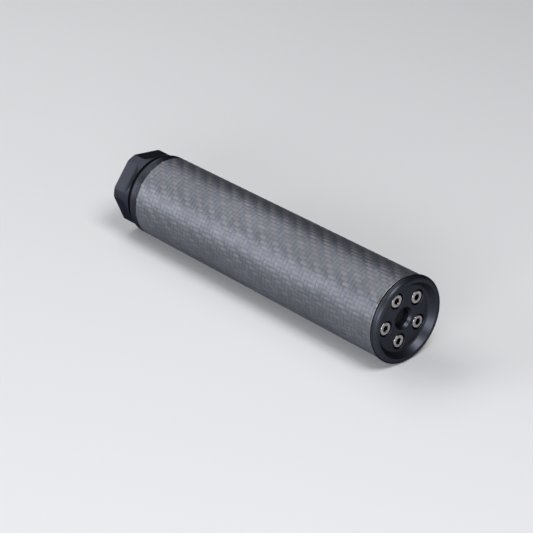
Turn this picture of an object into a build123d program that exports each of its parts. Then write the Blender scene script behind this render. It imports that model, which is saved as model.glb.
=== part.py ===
from build123d import *
import os
from math import cos, radians, sin

# Inert display model of a carbon-sleeved cylinder with a dished, five-screw front cap and a
# six-flat rear end. It is solid all through: the hole in the cap is a blind recess, the rear
# end is closed, and a one-piece blank fills the sleeve.
# Millimetres. The cylinder lies along X with its front towards +X, and rests on Z = 0.

# Driving dimensions
overall_length = 160.7
body_radius = 18.0
sleeve_wall = 1.5
sleeve_edge = 0.3

rim_radius = 18.4
rim_length = 2.55
rim_inner_radius = 15.9
rim_edge = 0.18
rim_front_rounding = 1.7
dish_radius = 13.9
dish_depth = 2.85
dish_fillet = 0.45
cap_length = 9.85

recess_radius = 4.0
recess_mouth_radius = 4.77
recess_mouth_depth = 1.2
recess_depth = 5.0
plug_thickness = 1.5

screw_count = 5
screw_circle_radius = 9.75
screw_start_angle = 42.8
head_radius = 2.75
head_height = 3.0
head_edge = 0.3
head_below_floor = 0.1
counterbore_radius = 3.35
socket_across_flats = 2.5
socket_depth = 1.5
shank_radius = 1.5
shank_length = 8.0

front_gap = 1.05
front_seal_radius = 16.9
rear_gap = 2.7
rear_seal_radius = 15.9

collar_radius = 17.95
collar_length = 3.75
collar_edge = 0.25
collar_groove_count = 3
collar_groove_width = 0.25
collar_groove_depth = 0.15
collar_groove_pitch = 0.6

hex_radius = 16.9
hex_length = 9.65
hex_across_flats = 31.0
hex_first_flat_angle = 23.0
hex_flat_length = 5.3
cutter_radius = 8.3
cut_half_width = 7.6
hex_edge = 0.15

spigot_radius = 12.0
clearance = 0.05

# Stations along X, from the front to the rear
front_x = overall_length / 2
floor_x = front_x - dish_depth
rim_back_x = front_x - rim_length
cap_back_x = front_x - cap_length
sleeve_front_x = rim_back_x - front_gap
rear_x = -front_x
hex_front_x = rear_x + hex_length
collar_back_x = hex_front_x + rear_gap
collar_front_x = collar_back_x + collar_length
sleeve_back_x = collar_front_x

sleeve_bore_radius = body_radius - sleeve_wall
cap_boss_radius = sleeve_bore_radius - 2 * clearance
core_radius = sleeve_bore_radius - clearance
head_top_x = floor_x - head_below_floor
head_seat_x = head_top_x - head_height
shank_end_x = head_seat_x - shank_length

# The long axis, a plane through it (X along, Y outwards), and planes square to it
axis_height = rim_radius
long_axis = Axis((0, 0, axis_height), (1, 0, 0))
side_plane = Plane(origin=(0, 0, axis_height), x_dir=(1, 0, 0), z_dir=(0, -1, 0))


def cross_plane(x):
    """Plane square to the long axis at station x: local X is +Y, local Y is +Z."""
    return Plane(origin=(x, 0, axis_height), x_dir=(0, 1, 0), z_dir=(1, 0, 0))


def circle_edges(part, radius, x):
    """Circular edges of the given radius at station x."""
    circles = part.edges().filter_by(GeomType.CIRCLE)
    return circles.filter_by(
        lambda e: abs(e.radius - radius) < 0.001 and abs(e.arc_center.X - x) < 0.001
    )


def save(piece, name):
    piece.part.label = name
    export_step(piece.part, f"parts/{name}.step")


os.makedirs("parts", exist_ok=True)

# Carbon sleeve: a plain tube with a broken outer edge at both ends
with BuildPart() as carbon_sleeve:
    with BuildSketch(cross_plane(sleeve_back_x)):
        Circle(body_radius)
        Circle(sleeve_bore_radius, mode=Mode.SUBTRACT)
    extrude(amount=sleeve_front_x - sleeve_back_x)
    chamfer(circle_edges(carbon_sleeve, body_radius, sleeve_front_x), sleeve_edge)
    chamfer(circle_edges(carbon_sleeve, body_radius, sleeve_back_x), sleeve_edge)
save(carbon_sleeve, "carbon_sleeve")

# Front cap: rim, dished front with a conical wall, boss inside the sleeve, blind recess
with BuildPart() as front_cap:
    with BuildSketch(side_plane):
        with BuildLine():
            Polyline(
                (floor_x, 0),
                (floor_x, dish_radius),
                (front_x, rim_inner_radius),
                (front_x, rim_radius),
                (rim_back_x, rim_radius),
                (rim_back_x, cap_boss_radius),
                (cap_back_x, cap_boss_radius),
                (cap_back_x, 0),
                close=True,
            )
        make_face()
    revolve(axis=long_axis)
    fillet(circle_edges(front_cap, dish_radius, floor_x), dish_fillet)
    chamfer(circle_edges(front_cap, rim_inner_radius, front_x), rim_edge)
    fillet(circle_edges(front_cap, rim_radius, front_x), rim_front_rounding)
    chamfer(circle_edges(front_cap, rim_radius, rim_back_x), rim_edge)
    with BuildSketch(side_plane):
        with BuildLine():
            Polyline(
                (floor_x, 0),
                (floor_x, recess_mouth_radius),
                (floor_x - recess_mouth_depth, recess_radius),
                (floor_x - recess_depth, recess_radius),
                (floor_x - recess_depth, 0),
                close=True,
            )
        make_face()
    revolve(axis=long_axis, mode=Mode.SUBTRACT)
    with BuildSketch(cross_plane(floor_x)):
        with PolarLocations(screw_circle_radius, screw_count, screw_start_angle):
            Circle(counterbore_radius)
    extrude(amount=head_seat_x - floor_x, mode=Mode.SUBTRACT)
    with BuildSketch(cross_plane(head_seat_x)):
        with PolarLocations(screw_circle_radius, screw_count, screw_start_angle):
            Circle(shank_radius + clearance)
    extrude(amount=cap_back_x - head_seat_x, mode=Mode.SUBTRACT)
save(front_cap, "front_cap")

# Blanking plug: a black disc on the floor of the recess
with BuildPart() as recess_plug:
    with BuildSketch(cross_plane(floor_x - recess_depth)):
        Circle(recess_radius - clearance)
    extrude(amount=plug_thickness)
save(recess_plug, "recess_plug")

# Cap screws: chamfered heads with hexagonal sockets, on plain shanks with no thread
with BuildPart() as cap_screws:
    with BuildSketch(cross_plane(head_seat_x)):
        with PolarLocations(screw_circle_radius, screw_count, screw_start_angle):
            Circle(head_radius)
    extrude(amount=head_height)
    head_rims = cap_screws.edges().filter_by(GeomType.CIRCLE).group_by(Axis.X)[-1]
    chamfer(head_rims, head_edge)
    with BuildSketch(cross_plane(head_top_x)):
        with PolarLocations(screw_circle_radius, screw_count, screw_start_angle):
            RegularPolygon(socket_across_flats / 2, 6, major_radius=False)
    extrude(amount=-socket_depth, mode=Mode.SUBTRACT)
    with BuildSketch(cross_plane(head_seat_x)):
        with PolarLocations(screw_circle_radius, screw_count, screw_start_angle):
            Circle(shank_radius)
    extrude(amount=-shank_length)
save(cap_screws, "cap_screws")

# Front seal: a thin black ring on the cap's boss, between the rim and the sleeve
with BuildPart() as front_seal:
    with BuildSketch(cross_plane(sleeve_front_x)):
        Circle(front_seal_radius)
        Circle(cap_boss_radius + clearance, mode=Mode.SUBTRACT)
    extrude(amount=front_gap)
save(front_seal, "front_seal")

# Blank core: one solid bar that fills the sleeve, with a plain spigot for the rear rings
# and blind plain holes for the screw shanks
with BuildPart() as blank_core:
    with BuildSketch(cross_plane(sleeve_back_x)):
        Circle(core_radius)
    extrude(amount=cap_back_x - sleeve_back_x)
    with BuildSketch(cross_plane(hex_front_x)):
        Circle(spigot_radius)
    extrude(amount=sleeve_back_x - hex_front_x)
    with BuildSketch(cross_plane(cap_back_x)):
        with PolarLocations(screw_circle_radius, screw_count, screw_start_angle):
            Circle(shank_radius + clearance)
    extrude(amount=shank_end_x - cap_back_x - clearance, mode=Mode.SUBTRACT)
save(blank_core, "blank_core")

# Rear collar: a turned ring behind the sleeve, with fine grooves next to the sleeve
with BuildPart() as rear_collar:
    with BuildSketch(cross_plane(collar_back_x)):
        Circle(collar_radius)
        Circle(spigot_radius + clearance, mode=Mode.SUBTRACT)
    extrude(amount=collar_length)
    chamfer(circle_edges(rear_collar, collar_radius, collar_back_x), collar_edge)
    for i in range(collar_groove_count):
        groove_x = collar_front_x - (i + 1) * collar_groove_pitch
        with BuildSketch(cross_plane(groove_x)):
            Circle(collar_radius)
            Circle(collar_radius - collar_groove_depth, mode=Mode.SUBTRACT)
        extrude(amount=collar_groove_width, mode=Mode.SUBTRACT)
save(rear_collar, "rear_collar")

# Rear seal: a black ring on the spigot, between the collar and the hexagonal end
with BuildPart() as rear_seal:
    with BuildSketch(cross_plane(hex_front_x)):
        Circle(rear_seal_radius)
        Circle(spigot_radius + clearance, mode=Mode.SUBTRACT)
    extrude(amount=rear_gap)
save(rear_seal, "rear_seal")

# Hexagonal end: a closed solid disc with six milled flats that run out in a cutter's curve
flat_end_x = rear_x + hex_flat_length
flat_height = hex_across_flats / 2
with BuildPart() as flat_cuts:
    for i in range(6):
        angle = radians(hex_first_flat_angle + 60 * i)
        tangent = (0, -sin(angle), cos(angle))
        flat_plane = Plane(origin=(0, 0, axis_height), x_dir=(1, 0, 0), z_dir=tangent)
        with BuildSketch(flat_plane):
            with BuildLine():
                runout = CenterArc((flat_end_x, flat_height + cutter_radius), cutter_radius, -90, 90)
                Polyline(
                    runout @ 1,
                    (rear_x - 1, flat_height + cutter_radius),
                    (rear_x - 1, flat_height),
                    runout @ 0,
                )
            make_face()
        extrude(amount=cut_half_width, both=True)

with BuildPart() as rear_hex:
    with BuildSketch(cross_plane(rear_x)):
        Circle(hex_radius)
    extrude(amount=hex_length)
    chamfer(circle_edges(rear_hex, hex_radius, rear_x), hex_edge)
    add(flat_cuts.part, mode=Mode.SUBTRACT)
save(rear_hex, "rear_hex")
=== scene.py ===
import math
import bmesh
import bpy
from mathutils import Matrix, Vector


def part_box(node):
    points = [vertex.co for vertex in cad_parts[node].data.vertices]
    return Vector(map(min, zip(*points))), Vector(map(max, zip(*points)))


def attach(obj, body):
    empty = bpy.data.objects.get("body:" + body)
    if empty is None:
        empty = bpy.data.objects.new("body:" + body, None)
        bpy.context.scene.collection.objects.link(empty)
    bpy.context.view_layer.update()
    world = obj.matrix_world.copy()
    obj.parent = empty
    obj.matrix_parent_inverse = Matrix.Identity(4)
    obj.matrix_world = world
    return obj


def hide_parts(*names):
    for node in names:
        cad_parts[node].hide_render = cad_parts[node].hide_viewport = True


# Inert display model of a carbon-sleeved cylinder. It is solid: the recess in the front cap is
# blind and plugged, the rear end is closed, and a plain bar fills the sleeve.

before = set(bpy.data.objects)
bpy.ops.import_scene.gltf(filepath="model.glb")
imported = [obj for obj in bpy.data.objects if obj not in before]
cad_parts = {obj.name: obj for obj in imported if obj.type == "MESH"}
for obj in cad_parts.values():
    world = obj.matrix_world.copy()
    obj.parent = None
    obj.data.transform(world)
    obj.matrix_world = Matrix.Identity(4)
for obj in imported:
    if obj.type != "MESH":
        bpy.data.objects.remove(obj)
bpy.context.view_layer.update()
mm = 0.001

sleeveLow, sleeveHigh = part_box("carbon_sleeve")
capLow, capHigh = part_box("front_cap")
plugLow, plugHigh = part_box("recess_plug")
screwLow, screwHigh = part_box("cap_screws")
frontSealLow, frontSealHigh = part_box("front_seal")
collarLow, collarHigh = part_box("rear_collar")
rearSealLow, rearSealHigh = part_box("rear_seal")
hexLow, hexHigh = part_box("rear_hex")
axisHeight = (capLow.z + capHigh.z) / 2


class Bench:
    # adds nodes to one tree and joins them as they are made
    def __init__(self, tree):
        self.tree = tree

    def feed(self, socket, value):
        if isinstance(value, bpy.types.NodeSocket):
            self.tree.links.new(value, socket)
        else:
            socket.default_value = value

    def add(self, kind, feeds=None, **settings):
        node = self.tree.nodes.new(kind)
        node.location = (len(self.tree.nodes) % 12 * 190, -(len(self.tree.nodes) // 12) * 220)
        for key, value in settings.items():
            setattr(node, key, value)
        for key, value in (feeds or {}).items():
            self.feed(node.inputs[key], value)
        return node

    def math(self, operation, *values):
        node = self.add("ShaderNodeMath", operation=operation)
        for socket, value in zip(node.inputs, values):
            self.feed(socket, value)
        return node.outputs[0]

    def vector(self, operation, *values):
        node = self.add("ShaderNodeVectorMath", operation=operation)
        for socket, value in zip(node.inputs, values):
            self.feed(socket, value)
        return node.outputs["Value" if operation in ("LENGTH", "DOT_PRODUCT") else "Vector"]

    def blend(self, factor, low, high):
        return self.add("ShaderNodeMix", {0: factor, 2: low, 3: high}).outputs[0]

    def tint(self, factor, low, high):
        feeds = {0: factor, 6: low, 7: high}
        return self.add("ShaderNodeMix", feeds, data_type="RGBA").outputs[2]

    def aim(self, factor, low, high):
        return self.add("ShaderNodeMix", {0: factor, 4: low, 5: high}, data_type="VECTOR").outputs[1]

    def xyz(self, x, y, z):
        return self.add("ShaderNodeCombineXYZ", {0: x, 1: y, 2: z}).outputs[0]

    def noise(self, vector, scale, detail=2.0, roughness=0.5):
        feeds = {"Vector": vector, "Scale": scale, "Detail": detail, "Roughness": roughness}
        return self.add("ShaderNodeTexNoise", feeds).outputs["Fac"]

    def spread(self, value, fromLow, fromHigh, toLow, toHigh):
        feeds = {0: value, 1: fromLow, 2: fromHigh, 3: toLow, 4: toHigh}
        return self.add("ShaderNodeMapRange", feeds).outputs[0]


def weaveFields(bench, along, around):
    # 2x2 twill: which tow lies on top, and where a point is across it and along its float
    cellA = bench.math("FLOOR", along)
    cellB = bench.math("FLOOR", around)
    fracA = bench.math("SUBTRACT", along, cellA)
    fracB = bench.math("SUBTRACT", around, cellB)
    step = bench.math("FLOORED_MODULO", bench.math("ADD", cellA, cellB), 4.0)
    axialOnTop = bench.math("LESS_THAN", step, 1.5)
    across = bench.blend(axialOnTop, fracA, fracB)
    firstStep = bench.blend(axialOnTop, bench.math("SUBTRACT", step, 2.0), step)
    within = bench.blend(axialOnTop, fracB, fracA)
    floatPlace = bench.math("MULTIPLY", bench.math("ADD", firstStep, within), 0.5)
    towNumber = bench.blend(axialOnTop, bench.math("ADD", cellA, 500.0), cellB)
    floatNumber = bench.math("FLOOR", bench.math("MULTIPLY", bench.math("ADD", cellA, cellB), 0.25))
    return {
        "axialOnTop": axialOnTop, "across": across, "floatPlace": floatPlace,
        "towNumber": towNumber, "floatNumber": floatNumber,
    }


def humped(bench, place, power):
    # 0 at both ends of a 0..1 span and 1 in its middle
    offset = bench.math("ABSOLUTE", bench.math("MULTIPLY_ADD", place, 2.0, -1.0))
    return bench.math("SUBTRACT", 1.0, bench.math("POWER", offset, power))


def newMaterial(name):
    material = bpy.data.materials.new(name)
    material.use_nodes = True
    bench = Bench(material.node_tree)
    return material, bench, material.node_tree.nodes["Principled BSDF"]


sleeveSizes = {
    "towsAlong": 72, "towsRound": 64, "facesPerTow": 4,
    "relief": 0.09 * mm, "crownPower": 2.4, "archPower": 2.6, "leastPlump": 0.82,
    "wall": 1.5 * mm, "edgeBreak": 0.3 * mm, "seed": 11,
}
carbonLook = {
    # the axial and hoop tints differ as painted light and shade, standing in for how the two tow directions
    # catch the light
    "axialTow": (0.157, 0.159, 0.177, 1),
    "hoopTow": (0.152, 0.162, 0.187, 1),
    "gap": (0.060, 0.064, 0.075, 1),
    "sandedEdge": (0.20, 0.19, 0.19, 1),
    "roughness": (0.41, 0.53),
    "anisotropic": 0.33,
    "grazingTint": (0.40, 0.41, 0.44, 1),
    "fibresPerTow": 26.0,
    "metallic": 0.9,
    "wobble": 0.16,
    "fibreTone": (0.72, 1.28),
    "towTone": (0.91, 1.09),
    "slowTone": (0.9, 1.1),
    "bumpStrength": 0.5,
    "bumpDepth": 0.04 * mm,
}


def carbonMaterial():
    material, bench, shader = newMaterial("carbonTwill")
    towMap = bench.add("ShaderNodeUVMap", uv_map="towMap").outputs[0]
    parts = bench.add("ShaderNodeSeparateXYZ", {0: towMap})
    wobbleAt = bench.vector("MULTIPLY", towMap, (0.9, 0.9, 0.0))
    drift = bench.math("SUBTRACT", bench.noise(wobbleAt, 1.0, 1.0), 0.5)
    wobble = bench.math("MULTIPLY", drift, carbonLook["wobble"])
    along = bench.math("ADD", parts.outputs[0], wobble)
    around = bench.math("SUBTRACT", parts.outputs[1], wobble)
    weave = weaveFields(bench, along, around)
    onAxial = weave["axialOnTop"]

    # fibres run along each tow, and each tow and float has its own tone
    floatShift = bench.math("MULTIPLY", weave["floatNumber"], 3.7)
    fibreAt = bench.xyz(
        bench.math("MULTIPLY", weave["floatPlace"], 1.3),
        bench.math("MULTIPLY", weave["across"], carbonLook["fibresPerTow"]),
        bench.math("MULTIPLY_ADD", weave["towNumber"], 7.31, floatShift),
    )
    fibre = bench.noise(fibreAt, 1.0, 3.0, 0.6)
    toneAt = bench.xyz(weave["towNumber"], weave["floatNumber"], onAxial)
    tone = bench.add("ShaderNodeTexWhiteNoise", {"Vector": toneAt}, noise_dimensions="3D").outputs["Value"]
    slowTone = bench.noise(bench.vector("MULTIPLY", towMap, (0.05, 0.08, 0.0)), 1.0, 2.0)

    edge = humped(bench, weave["across"], 5.0)
    end = humped(bench, weave["floatPlace"], 9.0)
    cover = bench.math("MULTIPLY", edge, end)
    # the two tow directions are tinted apart: painted light and shade for how each catches the light
    towColour = bench.tint(onAxial, carbonLook["hoopTow"], carbonLook["axialTow"])
    towTone = bench.spread(tone, 0.0, 1.0, *carbonLook["towTone"])
    areaTone = bench.spread(slowTone, 0.3, 0.7, *carbonLook["slowTone"])
    fibreTone = bench.spread(fibre, 0.25, 0.75, *carbonLook["fibreTone"])
    brightness = bench.math("MULTIPLY", fibreTone, bench.math("MULTIPLY", towTone, areaTone))
    shaded = bench.vector("MULTIPLY", towColour, bench.xyz(brightness, brightness, brightness))
    coverSoft = bench.spread(cover, 0.0, 0.5, 0.0, 1.0)
    woven = bench.tint(coverSoft, carbonLook["gap"], shaded)
    pastFront = bench.math("LESS_THAN", parts.outputs[0], -0.01)
    pastBack = bench.math("GREATER_THAN", parts.outputs[0], sleeveSizes["towsAlong"] + 0.01)
    pastEnd = bench.math("ADD", pastFront, pastBack)
    sanded = bench.math("MULTIPLY", pastEnd, bench.spread(fibre, 0.3, 0.7, 0.5, 1.0))
    bench.feed(shader.inputs["Base Color"], bench.tint(sanded, woven, carbonLook["sandedEdge"]))

    smoothest, roughest = carbonLook["roughness"]
    roughness = bench.spread(fibre, 0.2, 0.8, smoothest, roughest)
    bench.feed(shader.inputs["Roughness"], roughness)
    shader.inputs["Anisotropic"].default_value = carbonLook["anisotropic"]
    shader.inputs["Metallic"].default_value = carbonLook["metallic"]
    shader.inputs["Specular Tint"].default_value = carbonLook["grazingTint"]
    normal = bench.add("ShaderNodeNewGeometry").outputs["Normal"]
    hoop = bench.vector("CROSS_PRODUCT", (1.0, 0.0, 0.0), normal)
    axial = bench.vector("CROSS_PRODUCT", normal, hoop)
    bench.feed(shader.inputs["Tangent"], bench.aim(onAxial, axial, hoop))

    height = bench.math("MULTIPLY_ADD", fibre, 0.5, bench.math("MULTIPLY", cover, 0.5))
    feeds = {"Strength": carbonLook["bumpStrength"], "Distance": carbonLook["bumpDepth"], "Height": height}
    bench.feed(shader.inputs["Normal"], bench.add("ShaderNodeBump", feeds).outputs[0])
    return material


def turnedMetal(name, look):
    # marks from the lathe tool run round the long axis, on flat faces as well as on the sides
    material, bench, shader = newMaterial(name)
    place = bench.add("ShaderNodeTexCoord").outputs["Object"]
    spot = bench.add("ShaderNodeSeparateXYZ", {0: place})
    radial = bench.xyz(0.0, spot.outputs[1], bench.math("SUBTRACT", spot.outputs[2], axisHeight))
    distance = bench.vector("LENGTH", radial)
    ruler = bench.math("MULTIPLY_ADD", spot.outputs[0], 0.8, distance)
    marksAt = bench.xyz(bench.math("MULTIPLY", ruler, look["marksPerMetre"]), 0.0, 0.0)
    fine = bench.noise(marksAt, 1.0, 4.0, 0.7)
    blotch = bench.noise(place, 160.0, 3.0)
    speck = bench.noise(place, 5200.0, 2.0, 0.6)

    normal = bench.add("ShaderNodeNewGeometry").outputs["Normal"]
    rounded = bench.add("ShaderNodeBevel", {"Radius": look["edgeRadius"]}, samples=6).outputs[0]
    flatness = bench.vector("DOT_PRODUCT", rounded, normal)
    worn = bench.spread(flatness, 0.998, 0.93, 0.0, look["edgeWear"])
    worn = bench.math("MULTIPLY", worn, bench.spread(blotch, 0.35, 0.65, 0.5, 1.0))

    markTone = bench.spread(fine, 0.25, 0.75, 0.82, 1.18)
    tone = bench.math("MULTIPLY", markTone, bench.spread(blotch, 0.3, 0.7, 0.93, 1.07))
    tone = bench.math("MULTIPLY", tone, bench.spread(speck, 0.3, 0.7, 0.93, 1.07))
    shaded = bench.vector("MULTIPLY", look["colour"], bench.xyz(tone, tone, tone))
    metal = bench.tint(worn, shaded, look["wornColour"])
    if "paintedShadeBehind" in look:
        # painted shade: behind the heads' faces all is painted near-black, down the sockets and round the
        # sides, where shade falls
        paintedShade = bench.spread(spot.outputs[0], look["paintedShadeBehind"], look["paintedShadeBehind"] - 0.1 * mm, 0.0, 1.0)
        metal = bench.tint(paintedShade, metal, look["paintedShadeColour"])
    bench.feed(shader.inputs["Base Color"], metal)
    low, high = look["roughness"]
    patches = bench.spread(blotch, 0.3, 0.7, -0.03, 0.03)
    rough = bench.math("ADD", bench.spread(fine, 0.25, 0.75, low, high), patches)
    bench.feed(shader.inputs["Roughness"], rough)
    shader.inputs["Metallic"].default_value = 1.0
    shader.inputs["Specular Tint"].default_value = look["grazingTint"]
    shader.inputs["Anisotropic"].default_value = look["anisotropic"]
    hoop = bench.vector("CROSS_PRODUCT", (1.0, 0.0, 0.0), radial)
    bench.feed(shader.inputs["Tangent"], bench.vector("CROSS_PRODUCT", normal, hoop))

    height = bench.math("MULTIPLY_ADD", speck, 0.35, fine)
    feeds = {"Strength": look["bump"], "Distance": 0.02 * mm, "Height": height, "Normal": rounded}
    bench.feed(shader.inputs["Normal"], bench.add("ShaderNodeBump", feeds).outputs[0])
    return material


def mouldedBlack(name, colour, roughness, grain):
    material, bench, shader = newMaterial(name)
    place = bench.add("ShaderNodeTexCoord").outputs["Object"]
    coarse = bench.noise(place, 700.0, 3.0)
    fine = bench.noise(place, grain, 3.0, 0.6)
    tone = bench.spread(coarse, 0.3, 0.7, 0.75, 1.3)
    bench.feed(shader.inputs["Base Color"], bench.vector("MULTIPLY", colour, bench.xyz(tone, tone, tone)))
    rough = bench.spread(fine, 0.3, 0.7, roughness - 0.08, roughness + 0.08)
    bench.feed(shader.inputs["Roughness"], rough)
    shader.inputs["Specular IOR Level"].default_value = 0.35
    feeds = {"Strength": 0.4, "Distance": 0.02 * mm, "Height": fine}
    bench.feed(shader.inputs["Normal"], bench.add("ShaderNodeBump", feeds).outputs[0])
    return material


anodisedLook = {
    "colour": (0.047, 0.050, 0.062), "wornColour": (0.17, 0.18, 0.21, 1),
    "grazingTint": (0.30, 0.31, 0.34, 1),
    "marksPerMetre": 9000.0, "edgeRadius": 0.10 * mm, "edgeWear": 0.35,
    "roughness": (0.38, 0.48), "anisotropic": 0.45, "bump": 0.25,
}
screwLook = {
    "colour": (0.40, 0.375, 0.37), "wornColour": (0.70, 0.685, 0.66, 1),
    "grazingTint": (0.8, 0.8, 0.8, 1),
    "marksPerMetre": 14000.0, "edgeRadius": 0.06 * mm, "edgeWear": 0.4,
    # painted shade down the screw sockets and round the heads' sides
    "paintedShadeBehind": screwHigh.x - 0.32 * mm, "paintedShadeColour": (0.02, 0.02, 0.022, 1),
    "roughness": (0.22, 0.34), "anisotropic": 0.3, "bump": 0.25,
}
carbonTwill = carbonMaterial()
blackAnodised = turnedMetal("blackAnodised", anodisedLook)
stainless = turnedMetal("stainlessScrew", screwLook)
# the seals are black rubber rings sunk in the gaps either side of the sleeve; their near-black also stands in
# as painted shade for the dark gap lines
sealRubberAndShade = mouldedBlack("sealRubberAndShade", (0.010, 0.010, 0.011), 0.72, 9000.0)
# the plug's near-black is painted shade for the depth of the front recess
plugShadeBlack = mouldedBlack("plugShadeBlack", (0.006, 0.006, 0.007), 0.85, 9000.0)
corePlastic = mouldedBlack("corePlastic", (0.030, 0.030, 0.032), 0.55, 6000.0)
print("finishes made")


def softOutline(corners, steps=4):
    # corners are (x, radius, rounding, sides); each rounded one becomes a short curve with a
    # support point either side, so that broad faces stay flat in the shading
    outline = []
    count = len(corners)
    for i, (x, radius, rounding, sides) in enumerate(corners):
        corner = Vector((x, radius))
        if rounding == 0:
            outline.append((x, radius, sides))
            continue
        before = Vector(corners[i - 1][:2]) - corner
        after = Vector(corners[(i + 1) % count][:2]) - corner
        reach = min(rounding, 0.8 * before.length, 0.8 * after.length)
        weight = math.sin(before.angle(after) / 2)
        start = corner + before.normalized() * reach
        end = corner + after.normalized() * reach
        points = [corner + before.normalized() * reach * 1.2]
        for k in range(steps + 1):
            t = k / steps
            shares = ((1 - t) ** 2, 2 * t * (1 - t) * weight, t ** 2)
            points.append((start * shares[0] + corner * shares[1] + end * shares[2]) / sum(shares))
        points.append(corner + after.normalized() * reach * 1.2)
        outline.extend((p.x, p.y, sides) for p in points)
    return outline


def turnedMesh(name, corners, segments, height=axisHeight, steps=4):
    # a lathe: each outline point becomes a ring, round or with flat sides, and radius 0 a pole
    shape = bmesh.new()
    loops = []
    for x, radius, sides in softOutline(corners, steps):
        if radius < 1e-7:
            loops.append([shape.verts.new((x, 0.0, height))])
            continue
        loop = []
        for k in range(segments):
            turn = 2 * math.pi * k / segments
            reach = radius
            if sides:
                half = math.pi / sides
                reach = radius / math.cos((turn + half) % (2 * half) - half)
            loop.append(shape.verts.new((x, reach * math.cos(turn), height + reach * math.sin(turn))))
        loops.append(loop)
    pairs = list(zip(loops, loops[1:]))
    if len(loops[0]) > 1:
        pairs.append((loops[-1], loops[0]))
    for near, far in pairs:
        for k in range(segments):
            n = k + 1
            quad = (near[k % len(near)], near[n % len(near)], far[n % len(far)], far[k % len(far)])
            shape.faces.new(list(dict.fromkeys(quad)))
    bmesh.ops.recalc_face_normals(shape, faces=shape.faces)
    return finishMesh(name, shape)


def slabMesh(name, outline, halfWidth):
    # an outline in X and Y, given thickness both ways along Z
    shape = bmesh.new()
    lower = [shape.verts.new((x, y, -halfWidth)) for x, y in outline]
    upper = [shape.verts.new((x, y, halfWidth)) for x, y in outline]
    shape.faces.new(lower)
    shape.faces.new(upper)
    for k in range(len(outline)):
        n = (k + 1) % len(outline)
        shape.faces.new((lower[k], lower[n], upper[n], upper[k]))
    bmesh.ops.recalc_face_normals(shape, faces=shape.faces)
    return finishMesh(name, shape)


def finishMesh(name, shape):
    mesh = bpy.data.meshes.new(name)
    shape.to_mesh(mesh)
    shape.free()
    piece = bpy.data.objects.new(name, mesh)
    bpy.context.scene.collection.objects.link(piece)
    return piece


def bake(piece):
    # the modifiers' result becomes the piece's own plain mesh
    graph = bpy.context.evaluated_depsgraph_get()
    source = piece.evaluated_get(graph)
    mesh = bpy.data.meshes.new_from_object(source, preserve_all_data_layers=True, depsgraph=graph)
    mesh.name = piece.name
    piece.modifiers.clear()
    piece.data = mesh
    return piece


def carve(piece, cutter):
    cut = piece.modifiers.new("carve", "BOOLEAN")
    cut.operation = "DIFFERENCE"
    cut.solver = "EXACT"
    cut.object = cutter
    bake(piece)
    bpy.data.objects.remove(cutter)
    return piece


def smooth(piece, degrees):
    piece.data.shade_smooth()
    piece.data.set_sharp_from_angle(angle=math.radians(degrees))


def stands(piece, node, material=None):
    # the piece is shown in place of its CAD node, and rides on the one body
    if material:
        piece.data.materials.clear()
        piece.data.materials.append(material)
    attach(piece, "root")
    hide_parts(node)


def newTree(name, sockets):
    tree = bpy.data.node_groups.new(name, "GeometryNodeTree")
    for label, kind in sockets:
        tree.interface.new_socket(label, in_out="INPUT", socket_type="NodeSocket" + kind)
    tree.interface.new_socket("Geometry", in_out="OUTPUT", socket_type="NodeSocketGeometry")
    bench = Bench(tree)
    return tree, bench, bench.add("NodeGroupInput").outputs


def endTree(bench, geometry, material):
    realized = bench.add("GeometryNodeRealizeInstances", {0: geometry}).outputs[0]
    finished = bench.add("GeometryNodeSetMaterial", {"Geometry": realized, "Material": material}).outputs[0]
    bench.add("NodeGroupOutput", {0: finished})


def apply(piece, tree, values):
    modifier = piece.modifiers.new(tree.name, "NODES")
    modifier.node_group = tree
    for item in tree.interface.items_tree:
        if item.in_out == "INPUT" and item.name in values:
            modifier[item.identifier] = values[item.name]
    return bake(piece)


def ringOfCopiesTree():
    # copies of the piece, set on a circle round the long axis and turned to face outwards
    sockets = [("Geometry", "Geometry"), ("Count", "Int"), ("Circle radius", "Float")]
    sockets += [("First angle", "Float"), ("Axis height", "Float"), ("Random spin", "Float")]
    sockets += [("Seed", "Int"), ("Finish", "Material")]
    tree, bench, given = newTree("ringOfCopies", sockets)
    index = bench.add("GeometryNodeInputIndex").outputs[0]
    share = bench.math("DIVIDE", index, given["Count"])
    angle = bench.math("MULTIPLY_ADD", share, 2 * math.pi, given["First angle"])
    outwards = bench.math("MULTIPLY", given["Circle radius"], bench.math("COSINE", angle))
    upwards = bench.math("MULTIPLY", given["Circle radius"], bench.math("SINE", angle))
    place = bench.xyz(0.0, outwards, bench.math("ADD", upwards, given["Axis height"]))
    points = bench.add("GeometryNodePoints", {"Count": given["Count"], "Position": place}).outputs[0]
    feeds = {2: 0.0, 3: given["Random spin"], "Seed": given["Seed"]}
    random = bench.add("FunctionNodeRandomValue", feeds)
    turn = bench.xyz(bench.math("ADD", angle, random.outputs[1]), 0.0, 0.0)
    feeds = {"Points": points, "Instance": given["Geometry"], "Rotation": turn}
    copies = bench.add("GeometryNodeInstanceOnPoints", feeds).outputs[0]
    endTree(bench, copies, given["Finish"])
    return tree


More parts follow.
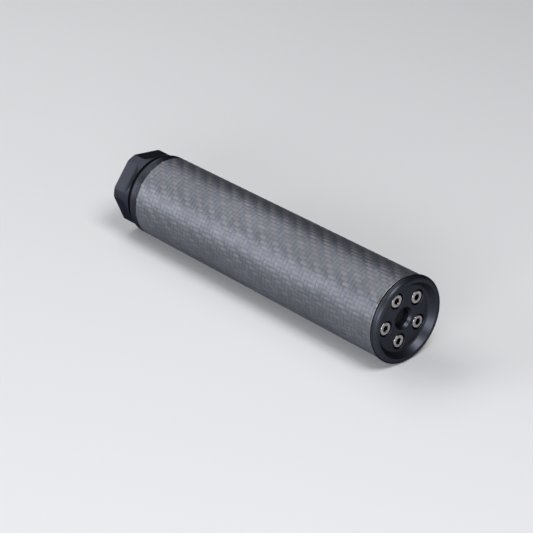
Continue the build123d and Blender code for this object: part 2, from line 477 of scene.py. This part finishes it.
def wovenSleeveTree():
    # one closed skin: a grid whose rows run over the woven outside, round both ends and back
    # through the bore. Rows count from the front, tows from the first full row.
    sockets = [("Geometry", "Geometry"), ("Front", "Float"), ("Back", "Float")]
    sockets += [("Outer radius", "Float"), ("Bore radius", "Float"), ("Axis height", "Float")]
    sockets += [("Edge break", "Float"), ("Relief", "Float"), ("Tows along", "Int")]
    sockets += [("Tows round", "Int"), ("Faces per tow", "Int"), ("Seed", "Int"), ("Finish", "Material")]
    tree, bench, given = newTree("wovenSleeve", sockets)
    outerRows = bench.math("MULTIPLY", given["Tows along"], given["Faces per tow"])
    rows = bench.math("ADD", outerRows, 6.0)
    columns = bench.math("MULTIPLY_ADD", given["Tows round"], given["Faces per tow"], 1.0)
    sizeX = bench.math("SUBTRACT", rows, 1.0)
    sizeY = bench.math("SUBTRACT", columns, 1.0)
    feeds = {"Size X": sizeX, "Size Y": sizeY, "Vertices X": rows, "Vertices Y": columns}
    grid = bench.add("GeometryNodeMeshGrid", feeds).outputs[0]
    spot = bench.add("ShaderNodeSeparateXYZ", {0: bench.add("GeometryNodeInputPosition").outputs[0]})
    row = bench.math("ROUND", bench.math("MULTIPLY_ADD", sizeX, 0.5, spot.outputs[0]))
    column = bench.math("ROUND", bench.math("MULTIPLY_ADD", sizeY, 0.5, spot.outputs[1]))
    along = bench.math("DIVIDE", bench.math("SUBTRACT", row, 2.0), given["Faces per tow"])
    around = bench.math("DIVIDE", column, given["Faces per tow"])
    mapped = bench.add("GeometryNodeStoreNamedAttribute", data_type="FLOAT2", domain="CORNER")
    feeds = {"Geometry": grid, "Name": "towMap", "Value": bench.xyz(along, around, 0.0)}
    for name, value in feeds.items():
        bench.feed(mapped.inputs[name], value)

    # height of the weave
    weave = weaveFields(bench, along, around)
    crown = humped(bench, weave["across"], sleeveSizes["crownPower"])
    arch = humped(bench, weave["floatPlace"], sleeveSizes["archPower"])
    feeds = {2: sleeveSizes["leastPlump"], 3: 1.0, "ID": weave["towNumber"], "Seed": given["Seed"]}
    plump = bench.add("FunctionNodeRandomValue", feeds).outputs[1]
    rise = bench.math("MULTIPLY", bench.math("MULTIPLY", crown, arch), plump)
    sink = bench.math("MULTIPLY", bench.math("SUBTRACT", 1.0, rise), given["Relief"])
    woven = bench.math("SUBTRACT", given["Outer radius"], sink)

    # which rows are the outside, the broken edges, and the two end faces
    lastOuter = bench.math("ADD", outerRows, 2.5)
    beforeBack = bench.math("LESS_THAN", row, lastOuter)
    onOuter = bench.math("MULTIPLY", bench.math("GREATER_THAN", row, 1.5), beforeBack)
    atFrontEdge = bench.math("COMPARE", row, 1.0, 0.1)
    atBackEdge = bench.math("COMPARE", row, bench.math("ADD", outerRows, 3.0), 0.1)
    atEdge = bench.math("ADD", atFrontEdge, atBackEdge)
    atBore = bench.math("SUBTRACT", 1.0, bench.math("ADD", onOuter, atEdge))
    afterBack = bench.math("GREATER_THAN", row, bench.math("ADD", outerRows, 4.5))
    atFront = bench.math("ADD", bench.math("LESS_THAN", row, 1.5), afterBack)
    atBack = bench.math("SUBTRACT", 1.0, bench.math("ADD", onOuter, atFront))
    edgeRadius = bench.math("SUBTRACT", given["Outer radius"], given["Edge break"])
    radius = bench.math("MULTIPLY_ADD", onOuter, woven, bench.math("MULTIPLY", atEdge, edgeRadius))
    radius = bench.math("MULTIPLY_ADD", atBore, given["Bore radius"], radius)

    start = bench.math("SUBTRACT", given["Front"], given["Edge break"])
    end = bench.math("ADD", given["Back"], given["Edge break"])
    run = bench.math("DIVIDE", along, given["Tows along"])
    outerStation = bench.blend(run, start, end)
    frontStation = bench.math("MULTIPLY", atFront, given["Front"])
    station = bench.math("MULTIPLY_ADD", onOuter, outerStation, frontStation)
    station = bench.math("MULTIPLY_ADD", atBack, given["Back"], station)

    turn = bench.math("MULTIPLY", bench.math("DIVIDE", around, given["Tows round"]), 2 * math.pi)
    outwards = bench.math("MULTIPLY", radius, bench.math("COSINE", turn))
    upwards = bench.math("MULTIPLY_ADD", radius, bench.math("SINE", turn), given["Axis height"])
    feeds = {"Geometry": mapped.outputs[0], "Position": bench.xyz(station, outwards, upwards)}
    rolled = bench.add("GeometryNodeSetPosition", feeds).outputs[0]
    joined = bench.add("GeometryNodeMergeByDistance", {"Geometry": rolled, "Distance": 0.001 * mm}).outputs[0]
    endTree(bench, joined, given["Finish"])
    return tree


# the carbon sleeve
wovenSleeve = finishMesh("wovenSleeve", bmesh.new())
apply(wovenSleeve, wovenSleeveTree(), {
    "Front": sleeveHigh.x, "Back": sleeveLow.x,
    "Outer radius": sleeveHigh.y, "Bore radius": sleeveHigh.y - sleeveSizes["wall"],
    "Axis height": axisHeight, "Edge break": sleeveSizes["edgeBreak"], "Relief": sleeveSizes["relief"],
    "Tows along": sleeveSizes["towsAlong"], "Tows round": sleeveSizes["towsRound"],
    "Faces per tow": sleeveSizes["facesPerTow"], "Seed": sleeveSizes["seed"], "Finish": carbonTwill,
})
smooth(wovenSleeve, 36)
stands(wovenSleeve, "carbon_sleeve")
print("sleeve woven:", len(wovenSleeve.data.polygons), "faces")


# the front cap, its plug and its screws
capSizes = {
    "rimLength": 2.55 * mm, "rimInner": 15.9 * mm, "rimEdge": 0.18 * mm, "rimRounding": 1.7 * mm,
    "dishRadius": 13.9 * mm, "dishDepth": 2.85 * mm, "dishFillet": 0.6 * mm,
    "bossRadius": 16.4 * mm, "recessRadius": 4.0 * mm, "recessMouth": 4.77 * mm,
    "mouthDepth": 1.2 * mm, "recessDepth": 5.0 * mm, "mouthEdge": 0.08 * mm,
    "bossEdge": 0.3 * mm, "plugRounding": 0.35 * mm, "segments": 192, "curveSteps": 8,
}
screwSizes = {
    "count": 5, "circle": 9.75 * mm, "firstAngle": 42.8, "head": 2.75 * mm, "headHeight": 3.0 * mm,
    "headEdge": 0.3 * mm, "below": 0.1 * mm, "socket": 1.25 * mm, "socketDepth": 1.5 * mm,
    "mouth": 1.56 * mm, "shank": 1.5 * mm, "shankLength": 8.0 * mm, "counterbore": 3.35 * mm,
    "clearance": 0.05 * mm, "counterboreEdge": 0.12 * mm, "headRounding": 0.12 * mm,
    "mouthSlope": 0.14 * mm, "socketCone": 0.3 * mm, "overshoot": 1 * mm, "segments": 48, "seed": 4,
}
ringOfCopies = ringOfCopiesTree()
floorX = capHigh.x - capSizes["dishDepth"]
recessX = floorX - capSizes["recessDepth"]
rimBackX = capHigh.x - capSizes["rimLength"]
headTopX = floorX - screwSizes["below"]
headSeatX = headTopX - screwSizes["headHeight"]

frontCap = turnedMesh("frontCap", [
    (recessX, 0, 0, 0),
    (recessX, capSizes["recessRadius"], 0, 0),
    (floorX - capSizes["mouthDepth"], capSizes["recessRadius"], capSizes["mouthEdge"], 0),
    (floorX, capSizes["recessMouth"], capSizes["mouthEdge"], 0),
    (floorX, capSizes["dishRadius"], capSizes["dishFillet"], 0),
    (capHigh.x, capSizes["rimInner"], capSizes["rimEdge"], 0),
    (capHigh.x, capHigh.y, capSizes["rimRounding"], 0),
    (rimBackX, capHigh.y, capSizes["rimEdge"], 0),
    (rimBackX, capSizes["bossRadius"], 0, 0),
    (capLow.x, capSizes["bossRadius"], capSizes["bossEdge"], 0),
    (capLow.x, 0, 0, 0),
], capSizes["segments"], steps=capSizes["curveSteps"])

ringPlaces = {
    "Count": screwSizes["count"], "Circle radius": screwSizes["circle"],
    "First angle": math.radians(screwSizes["firstAngle"]), "Axis height": axisHeight,
    "Random spin": 0.0, "Seed": screwSizes["seed"], "Finish": blackAnodised,
}
holeRadius = screwSizes["shank"] + screwSizes["clearance"]
mouthRadius = screwSizes["counterbore"] + screwSizes["counterboreEdge"]
counterbores = turnedMesh("counterbores", [
    (capLow.x - screwSizes["overshoot"], 0, 0, 0),
    (capLow.x - screwSizes["overshoot"], holeRadius, 0, 0),
    (headSeatX, holeRadius, 0, 0),
    (headSeatX, screwSizes["counterbore"], 0, 0),
    (floorX - screwSizes["counterboreEdge"], screwSizes["counterbore"], 0, 0),
    (floorX, mouthRadius, 0, 0),
    (floorX + screwSizes["overshoot"], mouthRadius, 0, 0),
    (floorX + screwSizes["overshoot"], 0, 0, 0),
], screwSizes["segments"], height=0.0)
apply(counterbores, ringOfCopies, ringPlaces)
carve(frontCap, counterbores)
smooth(frontCap, 28)
stands(frontCap, "front_cap", blackAnodised)

# the plug's near-black stands in as painted shade for the dark depth of the recess
recessPlug = turnedMesh("recessPlug", [
    (plugLow.x, 0, 0, 0),
    (plugLow.x, plugHigh.y, 0, 0),
    (plugHigh.x, plugHigh.y, capSizes["plugRounding"], 0),
    (plugHigh.x, 0, 0, 0),
], 96)
smooth(recessPlug, 40)
stands(recessPlug, "recess_plug", plugShadeBlack)

capScrews = turnedMesh("capScrews", [
    (headSeatX - screwSizes["shankLength"], 0, 0, 0),
    (headSeatX - screwSizes["shankLength"], screwSizes["shank"], 0.2 * mm, 0),
    (headSeatX, screwSizes["shank"], 0, 0),
    (headSeatX, screwSizes["head"], 0.1 * mm, 0),
    (headTopX - screwSizes["headEdge"], screwSizes["head"], screwSizes["headRounding"], 0),
    (headTopX, screwSizes["head"] - screwSizes["headEdge"], screwSizes["headRounding"], 0),
    (headTopX, screwSizes["mouth"], 0.05 * mm, 0),
    (headTopX - screwSizes["mouthSlope"], screwSizes["socket"], 0, 6),
    (headTopX - screwSizes["socketDepth"], screwSizes["socket"], 0, 6),
    (headTopX - screwSizes["socketDepth"] - screwSizes["socketCone"], 0, 0, 0),
], screwSizes["segments"], height=0.0)
apply(capScrews, ringOfCopies, {**ringPlaces, "Random spin": 1.0, "Finish": stainless})
smooth(capScrews, 30)
stands(capScrews, "cap_screws")
print("cap turned and screwed down")


# the rings either side of the sleeve
ringSizes = {
    "bore": 12.05 * mm, "grooves": 3, "grooveWidth": 0.25 * mm, "groovePitch": 0.6 * mm,
    "grooveDepth": 0.15 * mm, "grooveSlope": 0.05 * mm, "grooveEdge": 0.04 * mm,
    "collarEdge": 0.3 * mm, "sealRounding": 0.32 * mm, "frontSealRounding": 0.13 * mm,
    "sealBore": capSizes["bossRadius"] + 0.05 * mm, "segments": 192,
}

# the seals' near-black also stands in as painted shade for the gap lines
frontSeal = turnedMesh("frontSeal", [
    (frontSealLow.x, ringSizes["sealBore"], 0, 0),
    (frontSealLow.x, frontSealHigh.y, ringSizes["frontSealRounding"], 0),
    (frontSealHigh.x, frontSealHigh.y, ringSizes["frontSealRounding"], 0),
    (frontSealHigh.x, ringSizes["sealBore"], 0, 0),
], ringSizes["segments"])
smooth(frontSeal, 40)
stands(frontSeal, "front_seal", sealRubberAndShade)

collarOutline = [(collarHigh.x, ringSizes["bore"], 0, 0), (collarHigh.x, collarHigh.y, 0, 0)]
for i in range(ringSizes["grooves"]):
    grooveX = collarHigh.x - (i + 1) * ringSizes["groovePitch"] + ringSizes["grooveWidth"]
    grooveBackX = grooveX - ringSizes["grooveWidth"]
    bottom = collarHigh.y - ringSizes["grooveDepth"]
    collarOutline += [
        (grooveX, collarHigh.y, ringSizes["grooveEdge"], 0),
        (grooveX - ringSizes["grooveSlope"], bottom, 0, 0),
        (grooveBackX + ringSizes["grooveSlope"], bottom, 0, 0),
        (grooveBackX, collarHigh.y, ringSizes["grooveEdge"], 0),
    ]
collarOutline += [
    (collarLow.x, collarHigh.y, ringSizes["collarEdge"], 0),
    (collarLow.x, ringSizes["bore"], 0, 0),
]
rearCollar = turnedMesh("rearCollar", collarOutline, ringSizes["segments"])
smooth(rearCollar, 28)
stands(rearCollar, "rear_collar", blackAnodised)

rearSeal = turnedMesh("rearSeal", [
    (rearSealLow.x, ringSizes["bore"], 0, 0),
    (rearSealLow.x, rearSealHigh.y, ringSizes["sealRounding"], 0),
    (rearSealHigh.x, rearSealHigh.y, ringSizes["sealRounding"], 0),
    (rearSealHigh.x, ringSizes["bore"], 0, 0),
], ringSizes["segments"])
smooth(rearSeal, 40)
stands(rearSeal, "rear_seal", sealRubberAndShade)


# the hexagonal end
hexSizes = {
    "acrossFlats": 31.0 * mm, "firstFlat": 23.0, "flatLength": 5.3 * mm, "cutter": 8.3 * mm,
    "edge": 0.15 * mm, "edgeRounding": 0.04 * mm, "frontRounding": 0.12 * mm,
    "halfWidth": 7.6 * mm, "overshoot": 1 * mm, "segments": 192, "arcSteps": 32,
}
hexEnd = turnedMesh("hexEnd", [
    (hexLow.x, 0, 0, 0),
    (hexLow.x, hexHigh.y - hexSizes["edge"], hexSizes["edgeRounding"], 0),
    (hexLow.x + hexSizes["edge"], hexHigh.y, hexSizes["edgeRounding"], 0),
    (hexHigh.x, hexHigh.y, hexSizes["frontRounding"], 0),
    (hexHigh.x, 0, 0, 0),
], hexSizes["segments"])
flatX = hexLow.x + hexSizes["flatLength"]
flatHeight = hexSizes["acrossFlats"] / 2
cutterStart = hexLow.x - hexSizes["overshoot"]
cutterOutline = [(cutterStart, flatHeight + hexSizes["cutter"]), (cutterStart, flatHeight)]
for k in range(hexSizes["arcSteps"] + 1):
    turn = math.pi / 2 * k / hexSizes["arcSteps"]
    across = flatX + hexSizes["cutter"] * math.sin(turn)
    cutterOutline.append((across, flatHeight + hexSizes["cutter"] * (1 - math.cos(turn))))
flatCutters = slabMesh("flatCutters", cutterOutline, hexSizes["halfWidth"])
apply(flatCutters, ringOfCopies, {
    "Count": 6, "Circle radius": 0.0, "First angle": math.radians(hexSizes["firstFlat"]),
    "Axis height": axisHeight, "Random spin": 0.0, "Seed": 0, "Finish": blackAnodised,
})
carve(hexEnd, flatCutters)
smooth(hexEnd, 10)
stands(hexEnd, "rear_hex", blackAnodised)

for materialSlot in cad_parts["blank_core"].material_slots:
    materialSlot.material = corePlastic
print("rear end milled")


# the studio: floor, light and camera
def studioPlane(name, size, colour):
    material, bench, shader = newMaterial(name + "Paint")
    grain = bench.noise(bench.add("ShaderNodeTexCoord").outputs["Object"], 3.0, 2.0)
    tone = bench.spread(grain, 0.3, 0.7, 0.99, 1.01)
    bench.feed(shader.inputs["Base Color"], bench.vector("MULTIPLY", colour, bench.xyz(tone, tone, tone)))
    shader.inputs["Roughness"].default_value = 0.9
    shader.inputs["Specular IOR Level"].default_value = 0.2
    shape = bmesh.new()
    bmesh.ops.create_grid(shape, x_segments=1, y_segments=1, size=size)
    plane = finishMesh(name, shape)
    plane.data.materials.append(material)
    return plane


studioPlane("studioFloor", 6.0, (0.64, 0.64, 0.65))

world = bpy.data.worlds.new("studioAir")
world.use_nodes = True
world.node_tree.nodes["Background"].inputs["Color"].default_value = (0.80, 0.84, 0.92, 1)
world.node_tree.nodes["Background"].inputs["Strength"].default_value = 0.18
bpy.context.scene.world = world


def softbox(name, place, aim, size, power, colour):
    light = bpy.data.lights.new(name, "AREA")
    light.shape = "RECTANGLE"
    light.size, light.size_y = size
    light.energy = power
    light.color = colour
    lamp = bpy.data.objects.new(name, light)
    lamp.location = place
    lamp.rotation_euler = (Vector(aim) - Vector(place)).to_track_quat("-Z", "Y").to_euler()
    bpy.context.scene.collection.objects.link(lamp)


softbox("overheadBox", (-0.62, -0.05, 0.80), (0, 0, 0), (1.1, 0.4), 4.0, (1.0, 0.99, 0.98))
softbox("sideBox", (-0.66, -0.75, 0.30), (0, 0, 0.02), (0.6, 0.58), 4.6, (0.96, 0.98, 1.0))
softbox("frontBox", (0.515, -0.12, 0.91), (0.08, 0, 0.02), (0.42, 0.42), 6.5, (1.0, 1.0, 1.0))
softbox("longBox", (0.60, -0.86, 0.30), (0.05, 0, 0.02), (0.8, 0.34), 7.5, (0.97, 0.98, 1.0))
softbox("lowFrontBox", (0.98, -0.05, 0.27), (0.08, 0, 0.02), (0.12, 0.30), 0.35, (1.0, 1.0, 1.0))
bpy.context.scene.view_settings.view_transform = "Standard"

view = {
    "lens": 122.5, "position": (0.4854, -0.4523, 0.36317),
    "heading": (-0.7318, 0.6815), "dip": 28.03, "roll": 0.014,
}
lens = bpy.data.cameras.new("viewLens")
lens.lens = view["lens"]
lens.sensor_width = 36.0
lens.clip_start = 0.02
lens.clip_end = 30.0
lens.dof.use_dof = False
viewPoint = bpy.data.objects.new("viewPoint", lens)
bpy.context.scene.collection.objects.link(viewPoint)
dip = math.radians(view["dip"])
ahead, aside = view["heading"]
forward = Vector((ahead * math.cos(dip), aside * math.cos(dip), -math.sin(dip))).normalized()
level = forward.cross(Vector((0, 0, 1))).normalized()
upright = level.cross(forward)
right = level * math.cos(view["roll"]) + upright * math.sin(view["roll"])
top = upright * math.cos(view["roll"]) - level * math.sin(view["roll"])
cameraTurn = Matrix((right, top, -forward)).transposed().to_4x4()
viewPoint.matrix_world = Matrix.Translation(view["position"]) @ cameraTurn
bpy.context.scene.camera = viewPoint
print("studio set")
